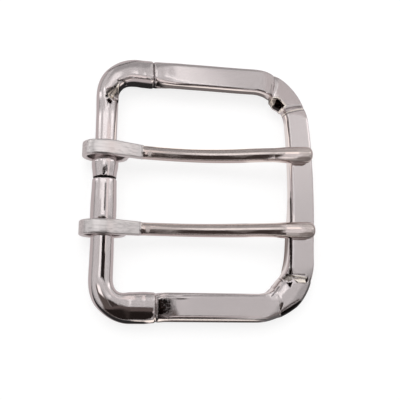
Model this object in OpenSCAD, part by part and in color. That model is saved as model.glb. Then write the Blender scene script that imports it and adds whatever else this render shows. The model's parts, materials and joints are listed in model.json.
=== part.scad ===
// Heel-bar belt buckle with two prongs, lying on its back, show side up.
// X runs from the round bar to the front rail, Y along the bar, Z up out of the show face.
// The origin is the middle of the whole buckle's outline, on the surface it lies on.

/* [Frame] */
// Width of the belt that passes between the side rails
strap_w = 40; // [34:0.5:46]
// Distance from the bar's axis to the outer face of the front rail
frame_l = 41; // [36:0.5:48]
// Width of the rails, seen from above
rail_w = 5.3; // [4.6:0.1:6]
// Height of the rails
rail_h = 4.4; // [4:0.1:5]
// Outer radius of the front corners, seen from above
corner_r = 12.2; // [10:0.1:13]

/* [Rail section] */
// Width of the bevel along the opening
inner_bevel_w = 0.8; // [0.4:0.1:1.1]
// Height of the bevel along the opening
inner_bevel_h = 0.8; // [0.5:0.1:1.1]
// Width of the bevel along the outside
outer_bevel_w = 1.2; // [0.6:0.1:1.4]
// Height of the bevel along the outside
outer_bevel_h = 2.2; // [0.8:0.1:2.4]
// Width of the slope under the inner edge
under_w = 1.2; // [0.7:0.1:1.5]
// Height of the slope under the inner edge
under_h = 2.2; // [0.7:0.1:2.4]
// Width of the chamfer under the outer edge
back_chamfer = 0.7; // [0.3:0.1:1]
// Height of the dome's inner slope on the corner pieces
dome_inner_h = 1.3; // [1.1:0.1:1.6]
// Height of the dome's outer slope
dome_outer_h = 2.2; // [1.1:0.1:2.4]
// Width of the dome's outer slope
dome_outer_w = 2; // [1.6:0.1:2.2]
// Width of the dome's inner slope
dome_inner_w = 1.4; // [1.1:0.1:2]
// Depth of the grooves that set off elbows and corners
groove_d = 0.3; // [0.15:0.05:0.5]
// Width of those grooves
groove_w = 0.5; // [0.3:0.1:0.8]

/* [Bar] */
// Height of the bar's axis above the surface
bar_z = 3.2; // [3.2:0.05:3.6]
// Radius of the bar where the prongs turn
bar_r = 2.15; // [1.9:0.05:2.15]
// Radius of the bar between the prongs
bar_mid_r = 2.35; // [2.2:0.05:2.45]
// Radius of the bar's two ends at the gap
bar_end_r = 1.9; // [1.6:0.05:2]
// Place of the gap along the bar
gap_y = 0.6; // [-1:0.1:1]
// Width of the gap
gap_w = 0.3; // [0.2:0.05:0.5]
// Radius of the tube at the elbows
elbow_r = 2.3; // [2.2:0.05:2.5]
// Radius of the elbows' capped ends
cap_r = 2.8; // [2.5:0.05:2.85]
// Radius of the elbows along the tube's middle line
elbow_bend = 5.4; // [4.5:0.1:6]
// Length of the capped end past the bend
cap_l = 3.9; // [3:0.1:5]

/* [Prongs] */
// Distance between the two prongs
prong_pitch = 14.9; // [13:0.1:17]
// How far both prongs have slid along the bar from its middle
prong_shift = -1.05; // [-1.2:0.05:1.2]
// Width of the eye along the bar
eye_w = 3; // [2.6:0.1:3.4]
// Radius of the eye's bore
eye_bore = 2.45; // [2.45:0.05:2.5]
// Outer radius of the eye
eye_r = 3.3; // [3.3:0.05:3.4]
// How far the eye reaches back past its round outline
eye_back = 1.05; // [0.6:0.05:1.4]
// Radius of the shaft
shaft_r = 1.3; // [1.2:0.05:1.5]
// Radius of the widened tip
tip_r = 1.6; // [1.5:0.05:1.9]
// Length from the bar's axis to the end of the tip
prong_l = 40.1; // [38:0.1:40.6]
// Slope of the shaft where it leaves the shank, in degrees
dip_slope = 3; // [1:0.5:5]
// Steepest slope where the shaft rises to the front rail, in degrees
rise_slope = 13; // [9:0.5:16]

/* [Hidden] */
$fn = 96;

overall_l = eye_r + eye_back + frame_l;
bar_x = eye_r + eye_back - overall_l / 2;
front_x = bar_x + frame_l;
rail_y = (strap_w + rail_w) / 2;
front_rail_x = front_x - rail_w / 2;
corner_mid_r = corner_r - rail_w / 2;
corner_x = front_x - corner_r;
corner_y = rail_y - corner_mid_r;
elbow_x = bar_x + elbow_bend;
elbow_y = rail_y - elbow_bend;
cap_x = elbow_x + cap_l;
cap_taper = 1.4;
cap_round = 0.5;

// Angles round the corner, from the front rail towards the side rail
groove_angle = groove_w / corner_mid_r * 180 / PI;
front_groove_at = 20;
side_groove_at = 68;

// A hidden core reaches this far into both stretches that it joins, and lies this far inside them
core_l = 0.6;
core_inset = 0.35;
core_angle = core_l / corner_mid_r * 180 / PI;

// Places along one half of the bar, from the gap outwards
bar_end_l = 0.35;
bar_neck_l = 2.4;
bar_step_l = 0.4;
bar_step_room = 0.25;

// Side profile of a prong, about the bar's axis
upper_y = prong_shift + prong_pitch / 2;
lower_y = prong_shift - prong_pitch / 2;
rest_gap = 0.03;
tip_flat = 0.55;
tip_blend = 2.2;
tip_nose = 0.9;
tip_start = 33;
tip_z = rail_h + rest_gap + tip_r - bar_z - tip_flat;
eye_lift = 0.15;
bore_back = 0.4;
shank_l = 7.5;
shank_overlap = 0.4;
shank_tuck = 0.1;
shank_top_l = 1.2;
dip_r = 52;
crest_r = 26;
crest_start = tip_start - crest_r * sin(rise_slope);
crest_base = tip_z - crest_r * (1 - cos(rise_slope));
dip_start = crest_start - dip_r * (sin(rise_slope) + sin(dip_slope));
dip_base = crest_base - dip_r * (cos(dip_slope) - cos(rise_slope));
shank_z = dip_base + (dip_start - shank_l) * tan(dip_slope);

// Lower edge of the strip's tail, folded up under the shank: place along the prong, height
tail_edge = [[6.2, -1.2], [4.6, -2.3], [2, -2.6]];

// Edge of the cutting blocks, larger than any section of a prong
block = 20;

// Bevelled section of a rail, drawn in on all sides by the inset: x is outward, y is up
module rail_section(inset = 0) {
    half = rail_w / 2 - inset;
    top = rail_h - inset;
    polygon([
        [-half + under_w, inset],
        [half - back_chamfer, inset],
        [half, inset + back_chamfer],
        [half, top - outer_bevel_h],
        [half - outer_bevel_w, top],
        [-half + inner_bevel_w, top],
        [-half, top - inner_bevel_h],
        [-half, inset + under_h]
    ]);
}

// Domed section of a corner piece, each slope a quarter of an ellipse
module corner_section() {
    half = rail_w / 2;
    slope_angles = [0:22.5:90];
    polygon([
        [-half + under_w, 0],
        [half - back_chamfer, 0],
        [half, back_chamfer],
        for (a = slope_angles)
            [half - dome_outer_w * (1 - cos(a)), rail_h - dome_outer_h * (1 - sin(a))],
        for (a = slope_angles)
            [-half + dome_inner_w * (1 - sin(a)), rail_h - dome_inner_h * (1 - cos(a))],
        [-half, under_h]
    ]);
}

// A straight stretch of the side rail, its section facing outward along +Y
module side_run(from_x, to_x) {
    translate([from_x, rail_y, 0])
        rotate([90, 0, 90])
            linear_extrude(to_x - from_x) children();
}

// A stretch of the front corner, from one angle to another, either way round
module corner_run(from_a, to_a) {
    translate([corner_x, corner_y, 0])
        rotate([0, 0, from_a])
            rotate_extrude(angle = to_a - from_a)
                translate([corner_mid_r, 0]) children();
}

// The narrower neck that shows as a groove, reaching into the stretches on both sides
module corner_groove(from_a) {
    corner_run(from_a - core_angle, from_a + groove_angle + core_angle) rail_section(groove_d);
}

// One half of the bar, drawn along +Y from the gap: its length, and how far off its prong's eye is
module bar_half(length, eye_at) {
    thick_end = eye_at - eye_w / 2 - bar_step_room - bar_step_l;
    rotate([-90, 0, 0])
        rotate_extrude()
            polygon([
                [0, gap_w / 2],
                [bar_end_r, gap_w / 2],
                [bar_r, gap_w / 2 + bar_end_l],
                [bar_mid_r, bar_neck_l],
                [bar_mid_r, thick_end],
                [bar_r, thick_end + bar_step_l],
                [bar_r, length + core_l],
                [0, length + core_l]
            ]);
}

// Round bar, parted by the gap
module bar() {
    translate([bar_x, gap_y, bar_z]) {
        bar_half(elbow_y - gap_y, upper_y - gap_y);
        mirror([0, 1, 0]) bar_half(elbow_y + gap_y, gap_y - lower_y);
    }
}

// Round elbow and its capped end, on the +Y side
module elbow() {
    translate([elbow_x, elbow_y, bar_z])
        rotate([0, 0, 90])
            rotate_extrude(angle = 90)
                translate([elbow_bend, 0]) circle(elbow_r);
    translate([elbow_x, rail_y, bar_z])
        rotate([0, 90, 0])
            rotate_extrude()
                polygon([
                    [0, -core_l],
                    [elbow_r - core_inset, -core_l],
                    [elbow_r - core_inset, 0],
                    [elbow_r, 0],
                    [cap_r, cap_taper],
                    [cap_r, cap_l - groove_w / 2 - cap_round],
                    [cap_r - cap_round, cap_l - groove_w / 2],
                    [0, cap_l - groove_w / 2]
                ]);
}

// Everything on the +Y side of the frame except the bar
module frame_side() {
    elbow();
    side_run(cap_x - groove_w, cap_x + groove_w) rail_section(groove_d);
    side_run(cap_x + groove_w / 2, corner_x) rail_section();
    side_run(corner_x - core_l, corner_x + core_l) rail_section(core_inset);
    corner_run(90, side_groove_at) rail_section();
    corner_groove(side_groove_at - groove_angle);
    corner_run(front_groove_at + groove_angle, side_groove_at - groove_angle) corner_section();
    corner_groove(front_groove_at);
    corner_run(0, front_groove_at) rail_section();
}

// A straight stretch of the front rail, as long on both sides of the middle
module front_run(length) {
    translate([front_rail_x, length / 2, 0])
        rotate([90, 0, 0])
            linear_extrude(length) children();
}

module front_rail() {
    front_run(2 * corner_y) rail_section();
    front_run(2 * (corner_y + core_l)) rail_section(core_inset);
}

module frame() {
    color("lightgray") {
        frame_side();
        mirror([0, 1, 0]) frame_side();
        front_rail();
        bar();
    }
}

// A plate across the prong, from its side profile about the bar's axis
module across(width) {
    translate([0, width / 2, 0])
        rotate([90, 0, 0])
            linear_extrude(width) children();
}

// A round plate drawn out to the back: two discs and the block between them
module drawn_out(radius, back, width) {
    across(width) circle(radius);
    translate([-back, 0, 0]) across(width) circle(radius);
    translate([-back, -width / 2, -radius]) cube([back, width, 2 * radius]);
}

// Side profile of the strip that runs from the eye down to the shaft, with its tail folded up below
module shank_outline() {
    eye_top = eye_lift + eye_r;
    polygon(concat(
        [
            [0, eye_bore],
            [0, eye_top],
            [shank_top_l, eye_top - shank_tuck],
            [shank_l + shank_overlap, shank_z + shaft_r - shank_tuck / 2],
            [shank_l + shank_overlap, shank_z - shaft_r + shank_tuck / 2]
        ],
        tail_edge,
        [[eye_bore, 0]]
    ));
}

// Eye and shank: the flattened end of the prong, narrowing to the shaft's width
module eye_and_shank() {
    taper = atan((eye_w / 2 - shaft_r + shank_tuck) / shank_l);
    difference() {
        union() {
            translate([0, 0, eye_lift]) drawn_out(eye_r, eye_back, eye_w);
            across(eye_w) shank_outline();
        }
        drawn_out(eye_bore, bore_back, 2 * eye_w);
        for (side = [0, 1])
            mirror([0, side, 0])
                translate([0, eye_w / 2, -block / 2])
                    rotate([0, 0, -taper]) cube(block);
    }
}

// A stretch of the shaft along an arc in the prong's upright plane
module shaft_arc(centre, radius, from_a, to_a) {
    translate([centre[0], 0, centre[1]])
        rotate([90, 0, 0])
            rotate([0, 0, from_a])
                rotate_extrude(angle = to_a - from_a)
                    translate([radius, 0]) circle(shaft_r);
}

// A hidden core inside the shaft, across the joint between two of its stretches
module shaft_core(x, z, slope) {
    translate([x, 0, z])
        rotate([0, 90 - slope, 0])
            cylinder(r = shaft_r - core_inset, h = 2 * core_l, center = true);
}

module shaft() {
    translate([dip_start, 0, dip_base])
        rotate([0, -90 + dip_slope, 0])
            cylinder(r = shaft_r, h = (dip_start - shank_l) / cos(dip_slope));
    shaft_core(dip_start, dip_base, -dip_slope);
    shaft_core(crest_start, crest_base, rise_slope);
    shaft_arc([dip_start + dip_r * sin(dip_slope), dip_base + dip_r * cos(dip_slope)], dip_r,
        -90 - dip_slope, -90 + rise_slope);
    shaft_arc([tip_start, tip_z - crest_r], crest_r, 90, 90 + rise_slope);
}

// Widened tip, flat underneath where it lies on the front rail
module tip() {
    length = prong_l - tip_start + tip_blend / 2;
    intersection() {
        translate([tip_start - tip_blend / 2, 0, tip_z])
            rotate([0, 90, 0])
                rotate_extrude()
                    polygon([
                        [0, 0],
                        [shaft_r - shank_tuck, 0],
                        [tip_r, tip_blend],
                        [tip_r, length - tip_nose],
                        [tip_r - tip_nose, length],
                        [0, length]
                    ]);
        translate([tip_start - tip_blend, -block / 2, rail_h + rest_gap - bar_z]) cube(block);
    }
}

// A whole prong about the bar's axis
module prong(along) {
    translate([bar_x, along, bar_z]) {
        eye_and_shank();
        shaft();
        tip();
    }
}

module upper_prong() {
    color("silver") prong(upper_y);
}

module lower_prong() {
    color("silver") prong(lower_y);
}

frame();
upper_prong();
lower_prong();
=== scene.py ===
"""Double prong belt buckle, lying on its back on a pale floor in soft studio light.

Sizes in the classes are millimetres in the model's own frame: X runs from the round bar to the
front rail, Y along the bar and Z up out of the show face. Meshes are written in metres.
"""

import json
import logging
import math
from dataclasses import dataclass, fields
from enum import Enum
from functools import partial

import bpy
import numpy as np
from mathutils import Euler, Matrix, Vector


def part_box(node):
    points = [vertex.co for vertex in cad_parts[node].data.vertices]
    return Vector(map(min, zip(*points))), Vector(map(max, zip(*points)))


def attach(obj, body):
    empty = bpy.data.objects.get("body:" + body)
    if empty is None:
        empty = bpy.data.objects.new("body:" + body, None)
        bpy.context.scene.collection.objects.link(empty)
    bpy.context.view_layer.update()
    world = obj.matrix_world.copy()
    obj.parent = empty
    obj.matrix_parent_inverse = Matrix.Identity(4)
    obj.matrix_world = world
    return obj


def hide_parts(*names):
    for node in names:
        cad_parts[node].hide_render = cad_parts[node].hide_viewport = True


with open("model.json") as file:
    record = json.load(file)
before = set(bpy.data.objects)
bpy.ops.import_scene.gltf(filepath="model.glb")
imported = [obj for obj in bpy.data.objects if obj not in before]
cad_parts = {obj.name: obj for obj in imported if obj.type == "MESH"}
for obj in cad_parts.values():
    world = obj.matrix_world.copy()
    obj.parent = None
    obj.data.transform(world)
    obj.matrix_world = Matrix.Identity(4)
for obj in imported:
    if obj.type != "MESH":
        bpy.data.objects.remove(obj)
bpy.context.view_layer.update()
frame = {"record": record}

LOG = logging.getLogger("buckle")
MM = 0.001


class Half(Enum):
    """The two halves of the frame, told apart by the sign of Y."""

    UPPER = 1
    LOWER = -1


class Leg(Enum):
    """The stretches that one half of the frame runs through, from the gap to the front rail's middle."""

    BAR = "bar"
    ELBOW = "elbow"
    SIDE = "side"
    CORNER = "corner"
    FRONT = "front"


class NodeSet:
    """A material's or the world's node tree, with short calls to add joined nodes."""

    def __init__(self, tree: bpy.types.NodeTree) -> None:
        """Empties the tree.

        Args:
            tree: the node tree to fill
        """
        self.tree = tree
        tree.nodes.clear()

    def add(self, kind: str, inputs: dict[str | int, object] | None = None,
            **settings: object) -> bpy.types.Node:
        """Adds a node, sets its own settings and fills its inputs.

        Args:
            kind: the node's type name
            inputs: a socket or a plain value for each input, by name or number
            settings: attributes of the node, such as operation="ADD"

        Returns:
            The new node.
        """
        node = self.tree.nodes.new(kind)
        for name, value in settings.items():
            setattr(node, name, value)
        for place, value in (inputs or {}).items():
            if isinstance(value, bpy.types.NodeSocket):
                self.tree.links.new(value, node.inputs[place])
            else:
                node.inputs[place].default_value = value
        return node

    def math(self, operation: str, first: object, second: object,
             clamp: bool = False) -> bpy.types.NodeSocket:
        """Adds a Math node.

        Args:
            operation: the node's operation
            first: a socket or a number
            second: a socket or a number
            clamp: whether the result is held between 0 and 1

        Returns:
            The result's socket.
        """
        node = self.add("ShaderNodeMath", {0: first, 1: second}, operation=operation, use_clamp=clamp)
        return node.outputs[0]

    def place(self) -> bpy.types.NodeSocket:
        """Returns the place on the object, in metres."""
        return self.add("ShaderNodeTexCoord").outputs["Object"]

    def plain(self, tone: tuple[float, float, float]) -> bpy.types.NodeSocket:
        """Adds one plain colour.

        Args:
            tone: the colour, linear

        Returns:
            Its socket.
        """
        socket = self.add("ShaderNodeRGB").outputs[0]
        socket.default_value = (*tone, 1.0)
        return socket

    def cover(self, share: bpy.types.NodeSocket, under: bpy.types.NodeSocket,
              over: tuple[float, float, float]) -> bpy.types.NodeSocket:
        """Lays one colour over another.

        Args:
            share: how much of the new colour shows, from 0 to 1
            under: the colour below
            over: the new colour

        Returns:
            The mixed colour's socket.
        """
        mix = self.add("ShaderNodeMix", {"Factor": share, "A": under, "B": (*over, 1.0)}, data_type="RGBA")
        return mix.outputs["Result"]

    def choose(self, share: bpy.types.NodeSocket, first: bpy.types.Node,
               second: bpy.types.Node) -> bpy.types.NodeSocket:
        """Mixes two shaders.

        Args:
            share: how much of the second one shows, from 0 to 1
            first: the first shader's node
            second: the second shader's node

        Returns:
            The mixed shader's socket.
        """
        inputs = {0: share, 1: first.outputs[0], 2: second.outputs[0]}
        return self.add("ShaderNodeMixShader", inputs).outputs[0]


def new_material(name: str) -> tuple[bpy.types.Material, NodeSet]:
    """Makes an empty material.

    Args:
        name: its name

    Returns:
        The material and its nodes.
    """
    material = bpy.data.materials.new(name)
    material.use_nodes = True
    return material, NodeSet(material.node_tree)


def put(name: str, data: bpy.types.ID) -> bpy.types.Object:
    """Makes an object of a mesh, lamp or camera and links it into the scene.

    Args:
        name: the object's name
        data: the mesh, lamp or camera

    Returns:
        The object.
    """
    obj = bpy.data.objects.new(name, data)
    bpy.context.scene.collection.objects.link(obj)
    return obj


@dataclass(frozen=True)
class Nickel:
    """Bright nickel plate with a faint uneven flow, worn, and darkened with dirt and painted shade, where the
    mesh says so.

    Attributes:
        name: the material's name
        colour: reflected colour, linear
        roughness: least roughness
        haze: how much the roughness grows in the plate's cloudy patches
        cloud_mm: size of those patches
        flow_mm: size of the plate's slow waves
        flow_depth_mm: height of those waves
        grain_mm: size of the finest unevenness
        grain_depth_mm: height of that unevenness
        grain_length: how many times longer the grain is along X
        streak: how strongly the plate darkens along the grain
        streak_from: height in the grain from which it darkens
        streak_steep: how sharply it darkens there
        streak_tone: how bright the darkened plate stays
        wear_mm: size of the pits in worn places
        wear_depth_mm: depth of those pits
        wear_dull: how much rougher worn places are
        dirt_and_shade: colour of the residue and painted shade in recesses
        dirt_and_shade_dull: how much rougher the residue and painted shade are
        brass: colour of the yellowed plate beside them
        brass_dull: how much rougher yellowed plate is
        speckle: how uneven residue, painted shade and yellowing are
        speckle_mm: size of that unevenness
    """

    name: str
    colour: tuple[float, float, float] = (0.66, 0.60, 0.60)
    roughness: float = 0.05
    haze: float = 0.07
    cloud_mm: float = 4.0
    flow_mm: float = 3.2
    flow_depth_mm: float = 0.006
    grain_mm: float = 0.35
    grain_depth_mm: float = 0.0005
    grain_length: float = 1.0
    streak: float = 0.0
    streak_from: float = 0.45
    streak_steep: float = 4.0
    streak_tone: float = 0.6
    wear_mm: float = 0.22
    wear_depth_mm: float = 0.02
    wear_dull: float = 0.1
    dirt_and_shade: tuple[float, float, float] = (0.012, 0.007, 0.006)
    dirt_and_shade_dull: float = 0.25
    brass: tuple[float, float, float] = (0.97, 0.88, 0.79)
    brass_dull: float = 0.2
    speckle: float = 1.6
    speckle_mm: float = 0.3

    def noise(self, nodes: NodeSet, size_mm: float, detail: float,
              longer: float = 1.0) -> bpy.types.NodeSocket:
        """Adds a noise texture in the object's own place.

        Args:
            nodes: the material's nodes
            size_mm: size of its patches
            detail: number of finer octaves
            longer: how many times longer the patches are along X

        Returns:
            The noise value's socket.
        """
        stretch = nodes.add("ShaderNodeVectorMath", {0: nodes.place(), 1: (1 / longer, 1.0, 1.0)},
                            operation="MULTIPLY")
        inputs = {"Vector": stretch.outputs[0], "Scale": 1 / (size_mm * MM), "Detail": detail}
        return nodes.add("ShaderNodeTexNoise", inputs).outputs["Fac"]

    def mask(self, nodes: NodeSet, name: str) -> bpy.types.NodeSocket:
        """Returns one of the mesh's own masks, 0 where the mesh has none."""
        return nodes.add("ShaderNodeAttribute", attribute_name=name).outputs["Fac"]

    def bump(self, nodes: NodeSet,
             reliefs: tuple[tuple[bpy.types.NodeSocket, float], ...]) -> bpy.types.NodeSocket:
        """Adds bumps, each over the one before it.

        Args:
            nodes: the material's nodes
            reliefs: the height of each, from 0 to 1, and its depth in millimetres

        Returns:
            The last normal's socket.
        """
        under = {}
        for height, depth_mm in reliefs:
            relief = {"Strength": 1.0, "Distance": depth_mm * MM, "Height": height}
            node = nodes.add("ShaderNodeBump", relief | under)
            under = {"Normal": node.outputs["Normal"]}
        return under["Normal"]

    def build(self) -> bpy.types.Material:
        """Makes the material.

        Returns:
            The finished material.
        """
        material, nodes = new_material(self.name)
        uneven = nodes.math("SUBTRACT", self.noise(nodes, self.speckle_mm, 2.0), 0.5)
        uneven = nodes.math("ADD", nodes.math("MULTIPLY", uneven, self.speckle), 1.0)
        # dirt_and_shade darkens the plate with residue and with painted shade in grooves, folds and the gap
        dirt_and_shade, brass = (nodes.math("MULTIPLY", self.mask(nodes, name), uneven, clamp=True)
                        for name in ("dirt_and_shade", "brass"))
        wear = self.mask(nodes, "wear")
        grain = self.noise(nodes, self.grain_mm, 2.0, self.grain_length)
        drawn = nodes.math("MULTIPLY", nodes.math("SUBTRACT", grain, self.streak_from),
                           self.streak_steep * self.streak, clamp=True)
        dark = tuple(self.streak_tone * part for part in self.colour)
        tint = nodes.plain(self.colour)
        for share, colour in ((drawn, dark), (brass, self.brass), (dirt_and_shade, self.dirt_and_shade)):
            tint = nodes.cover(share, tint, colour)
        rough = nodes.math("MULTIPLY", self.noise(nodes, self.cloud_mm, 3.0), self.haze)
        rough = nodes.math("ADD", rough, self.roughness)
        for mask, dull in ((dirt_and_shade, self.dirt_and_shade_dull), (wear, self.wear_dull), (brass, self.brass_dull)):
            rough = nodes.math("ADD", rough, nodes.math("MULTIPLY", mask, dull))
        pits = nodes.math("MULTIPLY", self.noise(nodes, self.wear_mm, 2.0), wear)
        normal = self.bump(nodes, ((self.noise(nodes, self.flow_mm, 0.0), self.flow_depth_mm),
                                   (grain, self.grain_depth_mm), (pits, self.wear_depth_mm)))
        shader = nodes.add("ShaderNodeBsdfPrincipled",
                           {"Base Color": tint, "Metallic": 1.0, "Roughness": rough, "Normal": normal})
        nodes.add("ShaderNodeOutputMaterial", {"Surface": shader.outputs[0]})
        return material


@dataclass(frozen=True)
class Station:
    """The frame's cross-section at one place along a half.

    Attributes:
        leg: the stretch that it lies on
        place: Y on the bar and the front rail, X on the side rail, degrees round elbow and corner
        out: distance of the outer wall from the centre line
        inn: distance of the inner wall from the centre line
        top: height of the crown
        bottom: height of the underside
        dome: 0 for the bevelled section, 1 for the rounded one
        power: 2 for a round dome, more for squarer shoulders
        power_in: the same for the dome's inner side
        bevel_in: width of the upper inner bevel
        under: width of the slope under the inner edge
        lean: how far the top leans towards the outside, in degrees
        wear: how pitted it is, from 0 to 1
    """

    leg: Leg
    place: float
    out: float
    inn: float
    top: float
    bottom: float = 0.0
    dome: float = 0.0
    power: float = 2.3
    power_in: float = 2.3
    bevel_in: float = 0.09
    under: float = 1.2
    lean: float = 0.0
    wear: float = 0.0


def on_bar(place: float, radius: float, height: float) -> Station:
    """Describes the round bar at one place.

    Args:
        place: where, as in Station
        radius: the bar's radius there
        height: height of the bar's axis

    Returns:
        The station.
    """
    return Station(Leg.BAR, place, radius, radius, height + radius, height - radius, dome=1.0, power=2.15)


@dataclass(frozen=True)
class Groove:
    """A narrow groove across the frame, with softer lips.

    Attributes:
        leg: the stretch that it lies on
        place: where, as in Station
        depth: how deep it is
        width: half its width at a third of its depth
        skew: how far its outer end lies further along than its middle
        lip: how far the surface sinks towards it
        lip_w: how wide that sinking is
        dirt_and_shade: how much painted shade darkens it, from 0 to 1
    """

    leg: Leg
    place: float
    depth: float = 0.25
    width: float = 0.13
    skew: float = 0.0
    lip: float = 0.12
    lip_w: float = 0.5
    dirt_and_shade: float = 0.3


@dataclass(frozen=True)
class Cut:
    """A small flat facet that the surface is pressed back to.

    Attributes:
        point: a point of the facet
        normal: the direction that it faces
        reach: how far from the point it works
        core: share of that reach in which it works fully
    """

    point: tuple[float, float, float]
    normal: tuple[float, float, float]
    reach: float
    core: float = 0.75

    def press(self, points: np.ndarray) -> np.ndarray:
        """Presses points back to the facet.

        Args:
            points: the points

        Returns:
            The points, none of which stands in front of the facet near its middle.
        """
        normal = np.array(self.normal) / np.linalg.norm(self.normal)
        away = points - np.array(self.point)
        near = 1 - smooth_step(np.linalg.norm(away, axis=-1), self.core * self.reach, self.reach)
        return points - (np.maximum(0, away @ normal) * near)[..., None] * normal


@dataclass(frozen=True)
class Crease:
    """A thin fold or ridge drawn over the frame's upper side.

    Attributes:
        path: points that it runs through, seen from above
        width: half its width at a third of its depth
        depth: how deep it is, below 0 for a ridge
        dirt_and_shade: how much painted shade darkens it, from 0 to 1
        brass: how yellowed it is, from 0 to 1
    """

    path: tuple[tuple[float, float], ...]
    width: float = 0.12
    depth: float = 0.08
    dirt_and_shade: float = 0.6
    brass: float = 0.0

    def sink(self, plan: np.ndarray) -> np.ndarray:
        """Works out how strongly the crease acts on points seen from above.

        Args:
            plan: the points' X and Y

        Returns:
            1 in the middle of the crease and nothing away from it.
        """
        nearest = np.full(plan.shape[:-1], np.inf)
        for first, second in zip(self.path, self.path[1:]):
            first, run = np.array(first), np.array(second) - np.array(first)
            share = np.clip((plan - first) @ run / (run @ run), 0, 1)
            nearest = np.minimum(nearest, np.linalg.norm(plan - first - share[..., None] * run, axis=-1))
        return np.exp(-(nearest / self.width) ** 2)


@dataclass(frozen=True)
class Patch:
    """A small area of the frame's upper side, with a convex outline, that is dented, darkened or yellowed.

    Attributes:
        outline: its corners, seen from above, anticlockwise
        depth: how deep it is, below 0 where it stands proud
        dirt_and_shade: how much it is darkened, by dirt and painted shade, from 0 to 1
        brass: how yellowed it is, from 0 to 1
        soft: half the width of its soft edge
    """

    outline: tuple[tuple[float, float], ...]
    depth: float = 0.08
    dirt_and_shade: float = 0.0
    brass: float = 0.0
    soft: float = 0.1

    def sink(self, plan: np.ndarray) -> np.ndarray:
        """Works out how strongly the patch acts on points seen from above.

        Args:
            plan: the points' X and Y

        Returns:
            1 well inside the outline and nothing outside.
        """
        inside = np.full(plan.shape[:-1], np.inf)
        for first, second in zip(self.outline, self.outline[1:] + self.outline[:1]):
            first, run = np.array(first), np.array(second) - np.array(first)
            inward = np.array((-run[1], run[0])) / np.hypot(*run)
            inside = np.minimum(inside, (plan - first) @ inward)
        return smooth_step(inside, -self.soft, self.soft)


@dataclass
class Spine:
    """The centre line of one half of the frame, from the gap in the bar to the front rail's middle.

    Attributes:
        bar_x: X of the bar
        front_x: X of the front rail
        rail_y: Y of the side rail
        start_y: Y of the gap
        bend: radius of the elbow's bend
        corner: radius of the front corner's bend
        bow: how far the front rail bows outwards
    """

    bar_x: float
    front_x: float
    rail_y: float
    start_y: float
    bend: float = 5.4
    corner: float = 9.55
    bow: float = 0.45

    @property
    def elbow(self) -> tuple[float, float]:
        """Returns the middle of the elbow's bend."""
        return self.bar_x + self.bend, self.rail_y - self.bend

    @property
    def corner_middle(self) -> tuple[float, float]:
        """Returns the middle of the front corner's bend."""
        return self.front_x - self.corner, self.rail_y - self.corner

    def starts(self) -> dict[Leg, float]:
        """Works out where each stretch starts.

        Returns:
            The distance along the spine of each stretch's start.
        """
        side = self.corner_middle[0] - self.elbow[0]
        lengths = (self.elbow[1] - self.start_y, self.bend * math.pi / 2, side, self.corner * math.pi / 2)
        marks = np.concatenate(([0.0], np.cumsum(lengths)))
        return dict(zip(Leg, (float(mark) for mark in marks)))

    def length(self) -> float:
        """Returns the whole length of the half."""
        return self.starts()[Leg.FRONT] + self.corner_middle[1]

    def distance(self, leg: Leg, place: float) -> float:
        """Turns a place on a stretch into a distance along the spine.

        Args:
            leg: the stretch
            place: the place on it, as in Station

        Returns:
            The distance from the gap.
        """
        start = self.starts()[leg]
        if leg is Leg.BAR:
            return start + place - self.start_y
        if leg is Leg.ELBOW:
            return start + math.radians(place) * self.bend
        if leg is Leg.SIDE:
            return start + place - self.elbow[0]
        if leg is Leg.CORNER:
            return start + math.radians(place) * self.corner
        return start + self.corner_middle[1] - place

    def point(self, s: float) -> tuple[np.ndarray, np.ndarray]:
        """Finds a point of the centre line, on the upper side.

        Args:
            s: distance along the spine

        Returns:
            The point and the outward direction there, in plan.
        """
        starts = self.starts()
        if s < starts[Leg.ELBOW]:
            return np.array((self.bar_x, self.start_y + s)), np.array((-1.0, 0.0))
        if s < starts[Leg.SIDE]:
            turn = math.pi - (s - starts[Leg.ELBOW]) / self.bend
            out = np.array((math.cos(turn), math.sin(turn)))
            return np.array(self.elbow) + self.bend * out, out
        if s < starts[Leg.CORNER]:
            return np.array((self.elbow[0] + s - starts[Leg.SIDE], self.rail_y)), np.array((0.0, 1.0))
        if s < starts[Leg.FRONT]:
            turn = math.pi / 2 - (s - starts[Leg.CORNER]) / self.corner
            out = np.array((math.cos(turn), math.sin(turn)))
            return np.array(self.corner_middle) + (self.corner - self.bow * out[0] ** 3) * out, out
        y = self.corner_middle[1] - (s - starts[Leg.FRONT])
        sag = self.bow * (y / self.corner_middle[1]) ** 2
        return np.array((self.front_x - sag, y)), np.array((1.0, 0.0))


def polar_outline(cos: np.ndarray, sin: np.ndarray, planes: list[tuple], sharpness: float) -> np.ndarray:
    """Joins flat faces into one outline with slightly rounded edges.

    Args:
        cos: first part of each direction from the middle
        sin: second part of each direction
        planes: for each face, its outward direction (two parts, any length) and a point on it (two parts)
        sharpness: exponent that joins the faces, higher for crisper edges

    Returns:
        The distance to the outline in each direction.
    """
    total = 0.0
    for nx, nz, x, z in planes:
        total = total + (np.maximum(0, cos * nx + sin * nz) / (nx * x + nz * z)) ** sharpness
    return total ** (-1 / sharpness)


def smooth_step(value: np.ndarray, low: float, high: float) -> np.ndarray:
    """Rises smoothly from 0 at the low value to 1 at the high one."""
    part = np.clip((value - low) / (high - low), 0, 1)
    return part * part * (3 - 2 * part)


@dataclass(frozen=True)
class Details:
    """What marks one half of the frame.

    Attributes:
        grooves: its grooves, from the gap onwards
        cuts: its small facets
        patches: its dented, darkened or yellowed places
        creases: its thin folds and ridges
    """

    grooves: tuple[Groove, ...]
    cuts: tuple[Cut, ...]
    patches: tuple[Patch, ...]
    creases: tuple[Crease, ...]


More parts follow.
